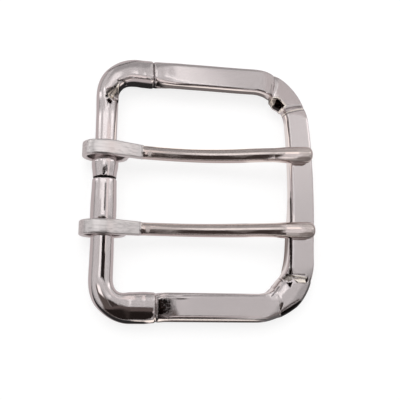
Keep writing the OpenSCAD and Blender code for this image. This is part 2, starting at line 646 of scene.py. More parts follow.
@dataclass
class BuckleFrame:
    """The cast frame: round bar with a gap, elbows, side rails, front corners and front rail.

    Attributes:
        bar_x, bar_z: place of the bar's axis
        front_face: X of the front rail's outer face
        strap_w: width of the belt between the side rails
        rail_w: width of the rails
        rail_h: height of the rails
        outer_bevels: width and drop of the two bevels along the outside, from the top down
        inner_drop: drop of each of the two bevels along the opening
        inner_low_w: width of the lower one
        under_slope: height of the slope under the inner edge for each unit of its width
        back_chamfer: width of the chamfer under the outer edge
        gap_y: place of the gap
        gap_w: width of the gap
        end_round: rounding of the bar's two ends
        end_shade: share of that rounding past which it is darkened with painted shade
        front_lean: slope of the front rail's top face, in degrees
        side_groove: share of a groove's depth that it has on the walls
        square_l: how far from the front rail's middle the sections stand square to it again
        sharpness: exponent that joins the faces
        around: points round a section
        upper_turns: where the section's upper side starts and ends, in degrees from outside
        coarse: spacing of the sections
        shaped: spacing of the sections on elbows and corner pieces
        shaped_margins: how far that goes on before the elbow, after it and before the front rail
        fine: spacing of the sections near a groove or an end
        fine_l: how far that goes on beside a groove
        upper, lower: what marks each half
    """

    bar_x: float
    bar_z: float
    front_face: float
    strap_w: float = 40.0
    rail_w: float = 5.3
    rail_h: float = 4.4
    outer_bevels: tuple[tuple[float, float], ...] = ((0.4, 0.2), (0.5, 1.2))
    inner_drop: float = 0.17
    inner_low_w: float = 0.13
    under_slope: float = 1.8
    back_chamfer: float = 0.7
    gap_y: float = 0.95
    gap_w: float = 0.17
    end_round: float = 0.3
    end_shade: float = 0.6
    front_lean: float = 7.0
    side_groove: float = 0.3
    square_l: float = 8.0
    sharpness: float = 45.0
    around: int = 144
    upper_turns: tuple[float, float] = (-20.0, 200.0)
    coarse: float = 0.7
    shaped: float = 0.17
    shaped_margins: tuple[float, float, float] = (2.0, 3.0, 3.0)
    fine: float = 0.08
    fine_l: float = 1.0
    upper: Details = Details(
        grooves=(
            Groove(Leg.SIDE, -9.55, 0.3, 0.13, -0.1, 0.14, 0.4, 0.7),
            Groove(Leg.CORNER, 26.0, 0.22, 0.12, -0.75, 0.16, 0.55),
            Groove(Leg.CORNER, 64.5, 0.22, 0.12, 0.75, 0.1, 0.4, 0.1)),
        cuts=(
            Cut((15.3, 17.5, 3.4), (-0.36, -0.58, 0.73), 1.6),
            Cut((-16.9, 18.0, 4.6), (0.30, -0.60, 0.74), 2.2)),
        patches=(
            # torn web inside the elbow, with its dark diamond a painted reflection
            Patch(((-18.9, 16.6), (-18.4, 16.3), (-17.3, 17.7), (-16.3, 19.3), (-16.3, 19.8), (-17.6, 18.4)),
                  0.1, 0.85, 0.4),
            Patch(((-18.25, 16.2), (-17.75, 16.3), (-16.95, 17.8), (-16.95, 18.4), (-17.7, 17.4)),
                  0.0, 0.0, 1.0),
            Patch(((-17.4, 16.3), (-16.95, 15.9), (-16.6, 17.2), (-16.2, 19.0), (-16.4, 19.5),
                   (-17.05, 18.1)), -0.08, 0.0, 1.0),
            Patch(((-18.5, 15.85), (-17.75, 14.95), (-17.4, 15.75), (-18.0, 16.3)), 0.15, 1.4),
            # nick in the bar, darkened, and a dented patch beside the cap, darkened with painted reflection
            Patch(((-18.8, 1.3), (-18.4, 1.2), (-17.8, 2.6), (-18.0, 2.8)), 0.1, 1.2),
            Patch(((-9.9, 19.6), (-6.2, 19.7), (-7.7, 20.3), (-8.4, 21.1), (-9.05, 20.5)), 0.08, 1.2),
            # pit inside the front corner, darkened with painted shade
            Patch(((15.18, 16.2), (16.65, 17.24), (15.83, 18.51), (14.96, 18.45), (14.34, 17.46)), 0.15, 1.5),
            Patch(((13.9, 17.6), (14.85, 17.7), (14.9, 18.65), (13.6, 18.5)), 0.05, 0.45, 0.8)),
        creases=(
            # fold along the elbow's back, then those of the torn web and the line under the cap, all darkened
            # with painted shade
            Crease(((-18.5, 21.9), (-17.1, 22.8), (-15.5, 23.5), (-13.5, 24.4), (-11.5, 25.0)),
                   0.1, 0.06, 0.7),
            Crease(((-17.58, 16.4), (-17.3, 17.3), (-16.8, 18.4)), 0.11, 0.1, 0.9),
            Crease(((-16.55, 18.4), (-16.45, 17.7), (-16.7, 16.8)), 0.12, 0.06, 0.9),
            Crease(((-16.5, 19.95), (-15.6, 20.1), (-14.4, 19.95), (-13.0, 19.8)), 0.17, 0.06, 1.0),
            # ridge and fold across the front corner, then those round its pit, the folds darkened with
            # painted shade
            Crease(((20.6, 17.0), (18.4, 16.35), (16.6, 15.7)), 0.12, -0.03, 0.0, 0.9),
            Crease(((20.7, 16.8), (18.5, 16.12), (16.7, 15.45)), 0.09, 0.05, 0.7),
            Crease(((14.1, 21.6), (13.9, 20.2), (13.9, 18.9)), 0.1, 0.05, 0.45),
            Crease(((13.9, 18.9), (15.3, 18.9), (16.9, 17.3), (15.3, 15.8)), 0.16, -0.1, 0.0, 0.9)))
    lower: Details = Details(
        grooves=(
            Groove(Leg.SIDE, -8.25, 0.3, 0.2, 0.0, 0.1, 0.5, 0.0),
            Groove(Leg.CORNER, 26.0, 0.06, 0.2, -0.75, 0.12, 0.6, 0.0),
            Groove(Leg.CORNER, 64.5, 0.1, 0.3, 0.75, 0.1, 0.8, 0.0)),
        cuts=(),
        patches=(
            # yellowed ledge and small pits at the front corner, darkened with painted shade
            Patch(((15.8, -16.9), (16.5, -17.65), (17.35, -17.2), (17.2, -16.45), (16.3, -16.3)),
                  0.12, 0.6, 0.7),
            Patch(((15.6, -16.95), (16.0, -17.3), (16.7, -16.5), (16.5, -16.2)), 0.1, 0.9),
            Patch(((17.7, -17.3), (18.3, -17.8), (19.9, -17.95), (20.35, -17.4), (19.9, -17.15),
                   (18.8, -17.1)), -0.1, 0.0, 1.0),
            Patch(((19.95, -17.35), (20.2, -17.9), (20.6, -17.4), (20.5, -16.7)), 0.12, 1.4),
            Patch(((16.87, -18.85), (17.4, -17.8), (16.1, -17.8)), 0.08, 1.1),
            Patch(((15.1, -23.5), (15.5, -24.3), (16.9, -23.7), (18.2, -22.7), (19.3, -21.4), (19.0, -21.2)),
                  0.1, 1.5),
            # dark stain that fades along the side rail from the cap
            Patch(((-7.8, -21.3), (-7.8, -23.8), (-6.7, -23.9), (-6.3, -22.8), (-6.5, -21.4)),
                  0.03, 2.2, soft=0.35),
            Patch(((-7.8, -21.2), (-7.8, -24.0), (-5.7, -24.0), (-5.2, -22.6), (-5.5, -21.2)),
                  0.0, 1.0, soft=0.8)),
        creases=(
            # painted shade line that widens along the front rail's inner edge
            Crease(((17.51, 0.5), (17.49, -1.8)), 0.06, 0.02, 0.8),
            Crease(((17.49, -1.5), (17.45, -4.0), (17.42, -5.5), (17.36, -7.2)), 0.08, 0.04, 1.9),
            Crease(((17.27, -7.4), (17.17, -11.7), (17.07, -14.0), (16.93, -16.2)), 0.17, 0.12, 1.7),
            # folds and ridge of the yellowed ledge, the folds darkened with painted shade
            Crease(((17.3, -16.3), (19.9, -16.4)), 0.1, 0.06, 0.6),
            Crease(((17.3, -16.65), (18.5, -16.65), (20.2, -16.95)), 0.17, -0.06, 0.0, 1.0),
            Crease(((17.5, -17.1), (19.0, -16.98), (20.0, -17.1)), 0.11, 0.06, 0.6, 0.5),
            Crease(((15.2, -17.1), (15.6, -17.6)), 0.1, 0.06, 0.8),
            # folds of the front corner and along the side rail, darkened with painted shade
            Crease(((15.2, -23.2), (16.9, -22.0), (18.5, -21.1)), 0.1, 0.05, 0.9),
            Crease(((13.3, -20.4), (14.2, -19.5), (14.9, -18.6)), 0.12, 0.05, 0.6),
            Crease(((-3.0, -20.5), (12.1, -20.4)), 0.1, 0.08, 0.5),
            Crease(((-7.9, -21.2), (-7.3, -21.0), (-3.0, -21.0)), 0.14, -0.07, 0.0),
            Crease(((-6.0, -24.75), (12.1, -24.75)), 0.1, 0.03, 0.3)))

    def stations(self, half: Half) -> list[Station]:
        """Lists the sections of one half, from the gap to the front rail's middle.

        Args:
            half: which half

        Returns:
            The stations in order.
        """
        wall, high = self.rail_w / 2, self.rail_h
        elbow = partial(Station, Leg.ELBOW, dome=1.0)
        cap = partial(Station, Leg.SIDE, dome=1.0)
        side = partial(Station, Leg.SIDE)
        corner = partial(Station, Leg.CORNER)
        front = partial(Station, Leg.FRONT, out=wall - 0.12, top=high, lean=self.front_lean)
        if half is Half.UPPER:
            bar = ((0.0, 2.15), (1.4, 2.22), (3.6, 2.5), (4.5, 2.5), (5.05, 2.08), (8.0, 2.02),
                   (13.0, 2.05))
            rows = [elbow(0, 2.15, 2.1, 5.45, 0.95),
                    elbow(45, 2.5, 2.0, 5.3, 0.5, power_in=3.2),
                    elbow(90, 2.7, 2.1, 5.0, 0.2, power_in=4.2, lean=4.0),
                    cap(-11.4, 2.7, 2.15, 4.85, 0.1, power_in=4.5, lean=5.0),
                    cap(-9.8, 2.6, 2.2, 4.7, 0.05, power=2.8, power_in=4.5, lean=5.0),
                    side(-9.3, 2.55, 2.2, 4.65, 0, 0.9, 2.8, 4.0, bevel_in=1.2, lean=3.0),
                    side(-7.7, 2.6, 2.35, 4.5, 0, 0.5, 2.8, 4.0, bevel_in=1.3),
                    side(-5.0, 2.65, 2.45, high, 0, 0.05, 2.8, 4.0, bevel_in=0.5),
                    side(-2.0, 2.6, 2.5, high),
                    side(9.0, 2.5, wall, high),
                    corner(14, 2.5, wall, high),
                    corner(26.5, 2.5, wall, high - 0.1, 0, 0.5),
                    corner(32, 2.35, wall + 0.5, high - 0.05, 0, 0.55, 3.0, 3.0),
                    corner(45, 2.2, wall + 0.75, high, 0, 0.55, 3.0, 3.0),
                    corner(60, 2.2, wall + 0.2, high - 0.05, 0, 0.55, 3.0, 3.0, lean=3.0),
                    corner(66, wall - 0.25, wall - 0.1, high - 0.1, 0, 0.5, lean=self.front_lean),
                    corner(74, wall - 0.25, wall - 0.1, high, lean=self.front_lean),
                    front(11.0, inn=wall - 0.1)]
        else:
            bar = ((-0.9, 2.27), (0.2, 2.31), (4.5, 2.42), (6.6, 2.42), (7.4, 2.15), (10.4, 2.17),
                   (14.0, 2.2))
            rows = [elbow(0, 2.25, 2.2, 5.5, 0.9),
                    elbow(45, 2.8, 1.9, 5.4, 0.5, power=2.1, power_in=3.0),
                    elbow(90, 3.05, 2.65, 5.1, 0.2, power=2.1, power_in=3.4),
                    cap(-10.4, 3.05, 2.75, 4.9, 0.1, power=2.1, power_in=3.4),
                    cap(-8.6, 2.9, 2.7, 4.75, 0.05, power_in=3.4),
                    side(-8.0, 2.75, wall, 4.6, 0, 0.5, bevel_in=0.6, lean=4.0, wear=0.6),
                    side(-6.2, wall, wall, 4.45, bevel_in=0.6, lean=4.0, wear=1.0),
                    side(-4.6, wall, wall, high, bevel_in=0.5, wear=0.3),
                    side(9.0, wall, wall, high),
                    corner(12, wall, wall, high, 0, 0.1),
                    corner(22, 2.6, wall + 0.3, high - 0.05, 0, 0.7),
                    corner(30, 2.75, wall + 0.55, high, dome=1.0),
                    corner(45, 2.95, wall + 0.7, high, dome=1.0),
                    corner(62, 2.85, wall + 0.55, high - 0.05, dome=1.0),
                    corner(67, wall + 0.1, wall + 0.5, high - 0.1, 0, 0.5, under=0.5, lean=self.front_lean),
                    corner(76, wall, wall + 0.4, high, under=0.5, lean=self.front_lean),
                    front(11.0, inn=wall + 0.15, under=0.5)]
        return [on_bar(place, radius, self.bar_z) for place, radius in bar] + rows + [front(0.0, inn=wall)]

    def planes(self, row: dict[str, np.ndarray]) -> list[tuple]:
        """Lists the faces of the bevelled section.

        Args:
            row: the section's sizes

        Returns:
            The faces, as polar_outline takes them.
        """
        out, inn, half_h = row["out"], row["inn"], (row["top"] - row["bottom"]) / 2
        (upper_w, upper_d), (lower_w, lower_d) = self.outer_bevels
        lean = np.radians(row["lean"])
        drop, low_w, chamfer = self.inner_drop, self.inner_low_w, self.back_chamfer
        under_h = row["under"] * self.under_slope
        return [(1.0, 0.0, out, 0.0),
                (lower_d, lower_w, out - lower_w, half_h - upper_d),
                (upper_d, upper_w, out - lower_w, half_h - upper_d),
                (np.sin(lean), np.cos(lean), 0.0, half_h),
                (-drop, row["bevel_in"], -inn + low_w, half_h - drop),
                (-drop, low_w, -inn + low_w, half_h - drop),
                (-1.0, 0.0, -inn, 0.0),
                (-under_h, -row["under"], -inn, -half_h + under_h),
                (0.0, -1.0, 0.0, -half_h),
                (1.0, -1.0, out, -half_h + chamfer)]

    def read(self, marks: np.ndarray, table: dict[str, np.ndarray], s: np.ndarray) -> dict[str, np.ndarray]:
        """Reads the table of sections at given distances.

        Args:
            marks: distance of each station
            table: the stations' values, by name
            s: distances along the spine

        Returns:
            The values there, by name.
        """
        upto = np.clip(np.searchsorted(marks, s, side="right"), 1, len(marks) - 1)
        blend = smooth_step((s - marks[upto - 1]) / (marks[upto] - marks[upto - 1]), 0, 1)
        return {name: values[upto - 1] + (values[upto] - values[upto - 1]) * blend
                for name, values in table.items()}

    def radius(self, row: dict[str, np.ndarray], cos: np.ndarray, sin: np.ndarray) -> np.ndarray:
        """Works out the section as the distance from its middle in each direction.

        Args:
            row: the section's sizes
            cos: outward part of each direction
            sin: upward part of each direction

        Returns:
            The distances.
        """
        half_h = (row["top"] - row["bottom"]) / 2
        reach = np.where(cos > 0, row["out"], row["inn"])
        power = np.where(cos > 0, row["power"], row["power_in"])
        lean = np.radians(row["lean"])
        across, up = cos * np.cos(lean) - sin * np.sin(lean), sin * np.cos(lean) + cos * np.sin(lean)
        domed = ((np.abs(across) / reach) ** power + (np.abs(up) / half_h) ** power) ** (-1 / power)
        flat = polar_outline(cos, sin, self.planes(row), self.sharpness)
        return flat + (domed - flat) * row["dome"]

    def sections(self, spine: Spine, grooves: list[float]) -> np.ndarray:
        """Places the sections, closer together where the shape is finer.

        Args:
            spine: the half's centre line
            grooves: distance of each groove

        Returns:
            The sections' distances along the spine.
        """
        starts = spine.starts()
        before, after, ahead = self.shaped_margins
        shaped = ((starts[Leg.ELBOW] - before, starts[Leg.SIDE] + after),
                  (starts[Leg.CORNER], starts[Leg.FRONT] - ahead))
        steps = [0.0]
        while steps[-1] < spine.length():
            at = steps[-1]
            step = self.shaped if any(low < at < high for low, high in shaped) else self.coarse
            if at < 2 * self.end_round or min(abs(at - groove) for groove in grooves) < self.fine_l:
                step = self.fine
            steps.append(at + step)
        return np.array(steps[:-1] + [spine.length()])

    def directions(self) -> tuple[np.ndarray, np.ndarray]:
        """Spreads the points round a section, three quarters of them over its upper side.

        Returns:
            The outward and the upward part of each direction.
        """
        start, end = self.upper_turns
        many, few = 3 * self.around // 4, self.around // 4
        angles = np.radians(np.concatenate((np.linspace(start, end, many, endpoint=False),
                                            np.linspace(end, start + 360, few, endpoint=False))))
        return np.cos(angles)[None, :], np.sin(angles)[None, :]

    def half(self, half: Half) -> tuple[np.ndarray, dict[str, np.ndarray]]:
        """Makes the sections of one half.

        Args:
            half: which half

        Returns:
            Rings of points from the gap to the front rail's middle, and the finish's masks by name: wear,
            yellowing, and darkening by dirt and painted shade.
        """
        spine = Spine(self.bar_x, self.front_face - self.rail_w / 2, (self.strap_w + self.rail_w) / 2,
                      half.value * self.gap_y + self.gap_w / 2)
        details = self.upper if half is Half.UPPER else self.lower
        stations = self.stations(half)
        marks = np.array([spine.distance(row.leg, row.place) for row in stations])
        table = {column.name: np.array([getattr(row, column.name) for row in stations], float)
                 for column in fields(Station) if column.name not in ("leg", "place")}
        grooves = [(spine.distance(groove.leg, groove.place), groove) for groove in details.grooves]
        s = self.sections(spine, [at for at, _ in grooves])
        cos, sin = self.directions()

        # for skewed grooves, the outer and inner points of a ring are read at different distances
        row = self.read(marks, table, s[:, None] + 0 * cos)
        across = np.clip(self.radius(row, cos, sin) * cos / self.rail_w * 2, -1, 1)
        knots = [(0.0, 0.0)] + [(at, groove.skew) for at, groove in grooves]
        knots.append((spine.length() - self.square_l, 0.0))
        warp = np.interp(s, [at for at, _ in knots], [skew for _, skew in knots])
        along = s[:, None] - warp[:, None] * across
        row = self.read(marks, table, along)
        radius = self.radius(row, cos, sin)
        dirt_and_shade, brass = 0 * radius, 0 * radius
        facing = self.side_groove + (1 - self.side_groove) * np.clip(sin, 0, 1)
        for at, groove in grooves:
            off = along - at
            sharp, wide = (np.exp(-(off / width) ** 2) for width in (groove.width, groove.lip_w))
            radius = radius - facing * (groove.depth * sharp + groove.lip * wide)
            # painted shade along the groove's bottom
            dirt_and_shade = np.maximum(dirt_and_shade, groove.dirt_and_shade * sharp)
        end = np.clip(1 - s / self.end_round, 0, 1)[:, None]
        radius = radius - self.end_round * (1 - np.sqrt(1 - end ** 2))
        # the rounded ends across the gap are darkened with painted shade
        dirt_and_shade = np.maximum(dirt_and_shade, end > self.end_shade)

        # the rings in place, then what is drawn on them from above
        plan = [spine.point(value) for value in s]
        middle = np.array([point for point, _ in plan])
        outward = np.array([out for _, out in plan])
        away = np.stack((outward[:, :1] * cos, half.value * outward[:, 1:] * cos, sin + 0 * radius), -1)
        points = radius[..., None] * away
        points[..., 0] += middle[:, :1]
        points[..., 1] += half.value * middle[:, 1:]
        points[..., 2] += (row["top"] + row["bottom"]) / 2
        for mark in details.patches + details.creases:
            sink = mark.sink(points[..., :2]) * (sin > 0)
            points -= (mark.depth * sink)[..., None] * away
            # patches and creases darken the plate with dirt and painted shade, and yellow it
            dirt_and_shade = dirt_and_shade + (mark.dirt_and_shade - dirt_and_shade) * sink
            brass = np.maximum(brass, mark.brass * sink)
        for cut in details.cuts:
            points = cut.press(points)
        return points, {"dirt_and_shade": dirt_and_shade, "wear": row["wear"], "brass": brass}

    def build(self, finish: Nickel) -> bpy.types.Object:
        """Builds the whole frame as one closed mesh.

        Args:
            finish: its finish

        Returns:
            The frame's object.
        """
        (lower, low_masks), (upper, up_masks) = self.half(Half.LOWER), self.half(Half.UPPER)
        masks = {name: np.concatenate((mask[:-1], up_masks[name][::-1])) for name, mask in low_masks.items()}
        obj = loft("buckle_frame", np.concatenate((lower[:-1], upper[::-1])), masks)
        obj.data.materials.append(finish.build())
        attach(obj, "frame")
        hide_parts("frame")
        return obj


def loft(name: str, rings: np.ndarray, masks: dict[str, np.ndarray]) -> bpy.types.Object:
    """Makes a closed, smooth mesh through rings of points.

    Args:
        name: the object's name
        rings: rings by points by coordinates, in millimetres
        masks: values for each point of the rings, by name

    Returns:
        The object, linked into the scene.
    """
    count, around, _ = rings.shape
    points = np.concatenate((rings.reshape(-1, 3), rings[0].mean(0)[None], rings[-1].mean(0)[None])) * MM
    first, last = count * around, count * around + 1
    here = np.arange(around)
    following = (here + 1) % around
    start = np.arange(count - 1)[:, None] * around
    end = start + around
    quads = np.stack((start + here, end + here, end + following, start + following), -1)
    faces = quads.reshape(-1, 4).tolist()
    edge = list(zip(here.tolist(), following.tolist()))
    faces += [(first, i, j) for i, j in edge]
    faces += [(last, first - around + j, first - around + i) for i, j in edge]
    mesh = bpy.data.meshes.new(name)
    mesh.from_pydata(points.tolist(), [], faces)
    mesh.shade_smooth()
    for mask, values in masks.items():
        layer = mesh.attributes.new(mask, "FLOAT", "POINT")
        layer.data.foreach_set("value", np.concatenate((values.ravel(), (0.0, 0.0))))
    return put(name, mesh)


@dataclass(frozen=True)
class WireRow:
    """The prong's wire at one place.

    Attributes:
        x, z: middle of the section, about the bar's axis
        thick: thickness in the prong's upright plane
        wide: width along the bar
        press: 0 for a round wire, 1 for a flattened strip
        rim_top: rounding of the strip's outer edges
        rim_under: rounding of its inner edges
        flat: depth of the facet below the section's middle, where it has one
    """

    x: float
    z: float
    thick: float
    wide: float
    press: float = 0.0
    rim_top: float = 0.3
    rim_under: float = 0.35
    flat: float = 3.0


@dataclass
class Prong:
    """One prong: widened tip, dipping shaft, flattened shank and the eye wrapped round the bar.

    Attributes:
        name: the piece's name
        node: the model's node and body that it stands for
        bar: place of the bar's axis in the middle of the eye
        eye_w: width of the eye
        strip_t: thickness of the flattened strip
        eye_r: outer radius of the eye
        eye_back: how far the eye's back bend lies behind the bar's axis
        eye_front: how far its front bend lies ahead of that axis
        eye_lift: height of both bends above that axis
        drift: how far the tip has swung along the bar
        bow: how far the shaft's middle is bent the other way
        length: from the bar's axis to the tip's end
        tip_z: height of the tip's middle above the bar's axis
        nose: length of the tip's rounded end
        shaft_t: thickness of the shaft
        slim: thickness of its lower stretch, as a share of that
        shoulder_x: where the flattened strip ends and the round shaft starts
        seam_lean: how far the line between the two leans across the wire
        seam_jag: how ragged that line is
        seam_l: how far along the wire it shows
        worn_x, worn_l: place of the worn stretch, from the shoulder, and half its length
        notch, notch_r: place of a dark notch, painted as the shadow of the step at the shoulder, from the
            middle of the shoulder, and its radius
        notch_shadow: how dark that painted shadow is, from 0 to 1
        top_from: share of the section's height above which it is worn and takes the notch's painted shadow
        strip_sharpness: exponent that joins the strip's faces
        facet_sharpness: exponent that joins the facet to them
        around: points round a section
        step: spacing of the sections
    """

    name: str
    node: str
    bar: tuple[float, float, float]
    eye_w: float = 2.9
    strip_t: float = 0.95
    eye_r: float = 3.3
    eye_back: float = 1.05
    eye_front: float = 1.0
    eye_lift: float = 0.15
    drift: float = 0.5
    bow: float = 0.0
    length: float = 39.95
    tip_z: float = 2.28
    nose: float = 1.25
    shaft_t: float = 2.62
    slim: float = 0.94
    shoulder_x: float = 7.0
    seam_lean: float = 0.22
    seam_jag: float = 0.1
    seam_l: float = 1.2
    worn_x: float = -0.7
    worn_l: float = 0.9
    notch: tuple[float, float] = (0.05, -0.45)
    notch_r: float = 0.22
    notch_shadow: float = 0.9
    top_from: float = 0.2
    strip_sharpness: float = 60.0
    facet_sharpness: float = 40.0
    around: int = 96
    step: float = 0.12

    def shaft_rows(self) -> list[WireRow]:
        """Lists the wire from the tip's end to the shoulder.

        Returns:
            The rows in order.
        """
        t, z = self.shaft_t, self.tip_z
        slim = self.slim * t
        rows = []
        for turn in range(10, 91, 16):
            angle = math.radians(turn)
            size = math.sin(angle) ** 0.6
            x = self.length - self.nose * (1 - math.cos(angle))
            rows.append(WireRow(x, z - 0.06, 3.0 * size, 3.25 * size, flat=0.95 * size))
        return rows + [
            WireRow(self.length - self.nose - 0.6, z - 0.05, 3.05, 3.3, flat=0.99),
            WireRow(36.5, z - 0.02, 3.15, 3.25, flat=1.03),
            WireRow(34.0, z, 3.1, 3.05, flat=1.05),
            WireRow(32.2, z - 0.01, 2.8, 2.75, flat=1.3),
            WireRow(29.5, z - 0.24, t, t),
            WireRow(27.15, z - 0.67, t, t),
            WireRow(25.5, z - 1.02, t, t),
            WireRow(20.5, z - 1.75, 0.97 * t, 0.97 * t),
            WireRow(15.0, z - 2.0, slim, slim),
            WireRow(11.0, z - 1.84, slim, slim),
            WireRow(8.6, z - 1.71, slim, slim),
            WireRow(self.shoulder_x + 0.2, z - 1.64, slim, slim)]

    def shank_rows(self) -> list[WireRow]:
        """Lists the flattened strip from the shoulder to the top of the eye.

        Returns:
            The rows in order.
        """
        top = self.eye_lift + self.eye_r - self.strip_t / 2
        return [WireRow(self.shoulder_x - 0.1, self.tip_z - 1.72, 2.35, 2.5, 1.0, 0.18, 1.1),
                WireRow(5.4, 1.03, 2.15, 2.6, 1.0, 0.22, 1.0),
                WireRow(3.6, 1.75, 1.75, 2.72, 1.0, 0.26, 0.8),
                WireRow(2.2, 2.42, 1.3, 2.84, 1.0, 0.3, 0.5),
                WireRow(1.0, 2.87, 1.0, self.eye_w, 1.0, 0.32, 0.4),
                WireRow(0.0, top, self.strip_t, self.eye_w, 1.0)]

    def eye_rows(self) -> list[WireRow]:
        """Lists the strip round the bar, from the top of the eye to the tail's end under the shank.

        Returns:
            The rows in order.
        """
        middle_r = self.eye_r - self.strip_t / 2
        rows = []
        for middle, turns in ((-self.eye_back, range(90, 271, 15)), (self.eye_front, range(270, 361, 15))):
            for turn in turns:
                angle = math.radians(turn)
                x = middle + middle_r * math.cos(angle)
                z = self.eye_lift + middle_r * math.sin(angle)
                rows.append(WireRow(x, z, self.strip_t, self.eye_w - 0.05, 1.0))
        return rows + [WireRow(4.15, 1.0, 0.9, self.eye_w - 0.2, 1.0),
                       WireRow(4.5, 1.6, 0.8, self.eye_w - 0.4, 1.0)]

    def radius(self, cos: np.ndarray, sin: np.ndarray, row: dict[str, np.ndarray]) -> np.ndarray:
        """Works out the wire's section as the distance from its middle in each direction.

        Args:
            cos: part of each direction along the bar
            sin: part of each direction in the prong's upright plane, away from the bar
            row: the section's sizes

        Returns:
            The distances.
        """
        half_w, half_t = row["wide"] / 2, row["thick"] / 2
        round_wire = 1 / np.hypot(cos / half_w, sin / half_t)
        planes = [(1.0, 0.0, half_w, 0.0), (-1.0, 0.0, -half_w, 0.0),
                  (0.0, 1.0, 0.0, half_t), (0.0, -1.0, 0.0, -half_t)]
        for turn in (22.5, 45.0, 67.5):
            nx, nz = math.cos(math.radians(turn)), math.sin(math.radians(turn))
            for up, rim in ((1, row["rim_top"]), (-1, row["rim_under"])):
                x, z = half_w - rim + rim * nx, half_t - rim + rim * nz
                planes += [(side * nx, up * nz, side * x, up * z) for side in (1, -1)]
        strip = polar_outline(cos, sin, planes, self.strip_sharpness)
        radius = round_wire + (strip - round_wire) * row["press"]
        facet, sharpness = np.maximum(0, -sin) / row["flat"], self.facet_sharpness
        return (radius ** -sharpness + facet ** sharpness) ** (-1 / sharpness)

    def rings(self) -> tuple[np.ndarray, np.ndarray, np.ndarray]:
        """Sweeps the wire's section along its path.

        Returns:
            Rings of points from the tip's end to the tail's end, and their painted shadow and wear.
        """
        rows = self.shaft_rows() + self.shank_rows() + self.eye_rows()
        table = {column.name: np.array([getattr(row, column.name) for row in rows])
                 for column in fields(WireRow)}
        path = table.pop("x"), table.pop("z")
        marks = np.concatenate(([0.0], np.cumsum(np.hypot(*(np.diff(values) for values in path)))))
        s = np.linspace(0, marks[-1], int(marks[-1] / self.step))
        x, z = (hermite(marks, values, s) for values in path)
        run = np.stack((np.gradient(x, s), np.gradient(z, s)), 1)
        run /= np.linalg.norm(run, axis=1)[:, None]
        up = np.stack((run[:, 1], -run[:, 0]), 1)
        angles = np.arange(self.around) * 2 * math.pi / self.around
        cos, sin = np.cos(angles)[None, :], np.sin(angles)[None, :]

        # the sections, read along a ragged line near the shoulder
        jag = self.seam_lean * cos + self.seam_jag * np.sin(9 * cos + 1.0)
        along = s[:, None] + jag * np.exp(-((x - self.shoulder_x) / self.seam_l) ** 2)[:, None]
        row = {name: np.interp(along, marks, values) for name, values in table.items()}
        radius = self.radius(cos, sin, row)
        points = np.empty((len(s), self.around, 3))
        points[..., 0] = x[:, None] + up[:, :1] * radius * sin
        points[..., 1] = radius * cos
        points[..., 2] = z[:, None] + up[:, 1:] * radius * sin
        share = np.clip(points[..., 0] / self.length, 0, None)
        points[..., 1] += self.drift * share ** 3 - 4 * self.bow * share * (1 - share)

        # wear beside the shoulder, and the painted shadow of the step's notch
        past, above = points[..., 0] - self.shoulder_x, sin > self.top_from
        wear = np.exp(-((past - self.worn_x) / self.worn_l) ** 2) * above
        away = np.hypot(past - self.notch[0], 2 * (points[..., 1] - self.notch[1]))
        dirt_and_shade = self.notch_shadow * np.exp(-(away / self.notch_r) ** 2) * above
        return points + np.array(self.bar), dirt_and_shade, wear

    def build(self, wire: Nickel, strip: Nickel) -> bpy.types.Object:
        """Builds the prong as one closed mesh.

        Args:
            wire: finish of the shaft and the tip, darker and warmer as painted shade
            strip: finish of the flattened shank and the eye, lighter as painted light

        Returns:
            The prong's object.
        """
        rings, dirt_and_shade, wear = self.rings()
        obj = loft(self.name, rings, {"dirt_and_shade": dirt_and_shade, "wear": wear})
        for finish in (wire, strip):
            obj.data.materials.append(finish.build())
        middles = np.empty(3 * len(obj.data.polygons))
        obj.data.polygons.foreach_get("center", middles)
        pressed = middles.reshape(-1, 3)[:, 0] / MM < self.bar[0] + self.shoulder_x
        obj.data.polygons.foreach_set("material_index", pressed.astype(int))
        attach(obj, self.node)
        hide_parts(self.node)
        return obj


def hermite(marks: np.ndarray, values: np.ndarray, s: np.ndarray) -> np.ndarray:
    """Draws a smooth curve through values.

    Args:
        marks: distance of each value along the path
        values: the values
        s: distances at which the curve is read

    Returns:
        The curve's values.
    """
    slope = np.gradient(values, marks)
    upto = np.clip(np.searchsorted(marks, s, side="right"), 1, len(marks) - 1)
    span = marks[upto] - marks[upto - 1]
    t = (s - marks[upto - 1]) / span
    return ((1 + 2 * t) * (1 - t) ** 2 * values[upto - 1] + t * (1 - t) ** 2 * span * slope[upto - 1]
            + t ** 2 * (3 - 2 * t) * values[upto] + t ** 2 * (t - 1) * span * slope[upto])


@dataclass(frozen=True)
class Panel:
    """A soft-edged part of the surroundings, of the floor or of a card, seen in reflections.

    In the surroundings a direction is told by how far it reaches east (+X) and north (+Y), each from
    -1 to 1: 0 and 0 is straight up, and the horizon lies where the two squares add up to 1. On the
    floor and on cards east and north are millimetres.

    Attributes:
        east: its limits towards +X
        north: its limits towards +Y
        strength: its brightness, or how much a card covers there
        colour: its colour
        soft: half the width of its soft edges
        slant: how much its northern limits shift for each unit of east
    """

    east: tuple[float, float]
    north: tuple[float, float]
    strength: float = 1.0
    colour: tuple[float, float, float] = (1.0, 1.0, 1.0)
    soft: float = 0.05
    slant: float = 0.0


@dataclass(frozen=True)
class Card:
    """A soft-edged flag or reflector hung over the buckle, which shows only where it is mirrored.

    Attributes:
        name: its name
        height: its height over the floor, in millimetres
        tone: its colour and brightness
        cover: where it hangs, in millimetres, and how much it hides there
    """

    name: str
    height: float
    tone: tuple[float, float, float]
    cover: tuple[Panel, ...]


